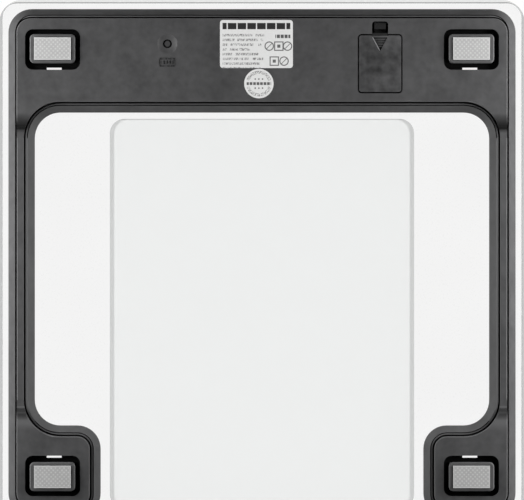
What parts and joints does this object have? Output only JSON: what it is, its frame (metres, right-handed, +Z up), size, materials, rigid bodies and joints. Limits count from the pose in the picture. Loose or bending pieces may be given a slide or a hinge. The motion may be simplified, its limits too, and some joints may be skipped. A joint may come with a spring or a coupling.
{
  "type": "digital bathroom scale",
  "caption": "Flat glass-topped electronic bathroom scale on a U-shaped plastic chassis, with load-cell feet, a coin-cell battery door and a unit button underneath.",
  "frame": {"origin": "on the floor under the middle of the glass, where the foot pads stand", "axes": "+Z up through the standing surface, +Y towards the display end, +X to the right of a person who stands on it and faces the display"},
  "size_m": [0.3, 0.3, 0.024],
  "materials": {
    "glass_platform": "clear tempered glass with polished edges",
    "back_print": "white enamel print on the underside of the glass",
    "bonding_tape": "black foam bonding tape",
    "chassis": "fine-textured dark grey ABS",
    "foot": "dark grey ABS",
    "foot_pad": "light grey anti-slip pad with a fine diagonal texture",
    "clip": "spring steel",
    "load_cell": "stamped alloy steel",
    "strain_gauge": "amber polyimide foil",
    "lead": "PVC-covered wires",
    "battery_door": "fine-textured dark grey ABS",
    "coin_cell": "stainless steel",
    "contact": "plated spring steel",
    "unit_button": "dark grey ABS",
    "tact_switch": "black nylon",
    "switch_plunger": "brown nylon",
    "circuit_board": "glass-fibre board with green solder resist",
    "screw": "zinc-plated steel",
    "display_glass": "glass display, switched off",
    "display_frame": "white ABS",
    "zebra_strip": "layered conductive silicone",
    "controller_blob": "black epoxy",
    "crystal_can": "tinned can",
    "rating_label": "coated sticker, blank but for ruled lines",
    "seal_sticker": "coated sticker, blank but for a ruled ring"
  },
  "bodies": {
    "scale": {"glass_platform": "glass_platform", "back_print": "back_print", "bonding_tape": "bonding_tape", "chassis": "chassis", "cell_front_left": "load_cell", "gauge_front_left": "strain_gauge", "lead_front_left": "lead", "cell_front_right": "load_cell", "gauge_front_right": "strain_gauge", "lead_front_right": "lead", "cell_rear_left": "load_cell", "gauge_rear_left": "strain_gauge", "lead_rear_left": "lead", "cell_rear_right": "load_cell", "gauge_rear_right": "strain_gauge", "lead_rear_right": "lead", "coin_cell": "coin_cell", "contact_plus": "contact", "contact_minus": "contact", "battery_leads": "lead", "tact_switch": "tact_switch", "circuit_board": "circuit_board", "screw_front_left": "screw", "screw_front_right": "screw", "screw_rear_left": "screw", "screw_rear_right": "screw", "display_glass": "display_glass", "display_frame": "display_frame", "zebra_front": "zebra_strip", "zebra_rear": "zebra_strip", "controller_blob": "controller_blob", "crystal_can": "crystal_can", "rating_label": "rating_label", "seal_sticker": "seal_sticker"},
    "foot_front_left": {"foot_front_left": "foot", "pad_front_left": "foot_pad", "clip_front_left": "clip"},
    "foot_front_right": {"foot_front_right": "foot", "pad_front_right": "foot_pad", "clip_front_right": "clip"},
    "foot_rear_left": {"foot_rear_left": "foot", "pad_rear_left": "foot_pad", "clip_rear_left": "clip"},
    "foot_rear_right": {"foot_rear_right": "foot", "pad_rear_right": "foot_pad", "clip_rear_right": "clip"},
    "battery_door": {"battery_door": "battery_door"},
    "unit_button": {"unit_button": "unit_button", "switch_plunger": "switch_plunger"}
  },
  "joints": [
    {"name": "foot_front_left_travel", "type": "slide", "parent": "scale", "child": "foot_front_left", "axis": [0, 0, 1], "range_m": [0, 0.0004], "stiffness_N_per_m": 1000, "springref_m": -0.01, "deforming": ["cell_front_left"]},
    {"name": "foot_front_right_travel", "type": "slide", "parent": "scale", "child": "foot_front_right", "axis": [0, 0, 1], "range_m": [0, 0.0004], "stiffness_N_per_m": 1000, "springref_m": -0.01, "deforming": ["cell_front_right"]},
    {"name": "foot_rear_left_travel", "type": "slide", "parent": "scale", "child": "foot_rear_left", "axis": [0, 0, 1], "range_m": [0, 0.0004], "stiffness_N_per_m": 1000, "springref_m": -0.01, "deforming": ["cell_rear_left"]},
    {"name": "foot_rear_right_travel", "type": "slide", "parent": "scale", "child": "foot_rear_right", "axis": [0, 0, 1], "range_m": [0, 0.0004], "stiffness_N_per_m": 1000, "springref_m": -0.01, "deforming": ["cell_rear_right"]},
    {"name": "battery_door_hinge", "type": "hinge", "parent": "scale", "child": "battery_door", "pos_m": [-0.0678, 0.0979, 0.00375], "axis": [-1, 0, 0], "range_deg": [0, 100]},
    {"name": "unit_button_press", "type": "slide", "parent": "scale", "child": "unit_button", "axis": [0, 0, 1], "range_m": [0, 0.0005], "stiffness_N_per_m": 2500, "springref_m": -0.0001}
  ]
}
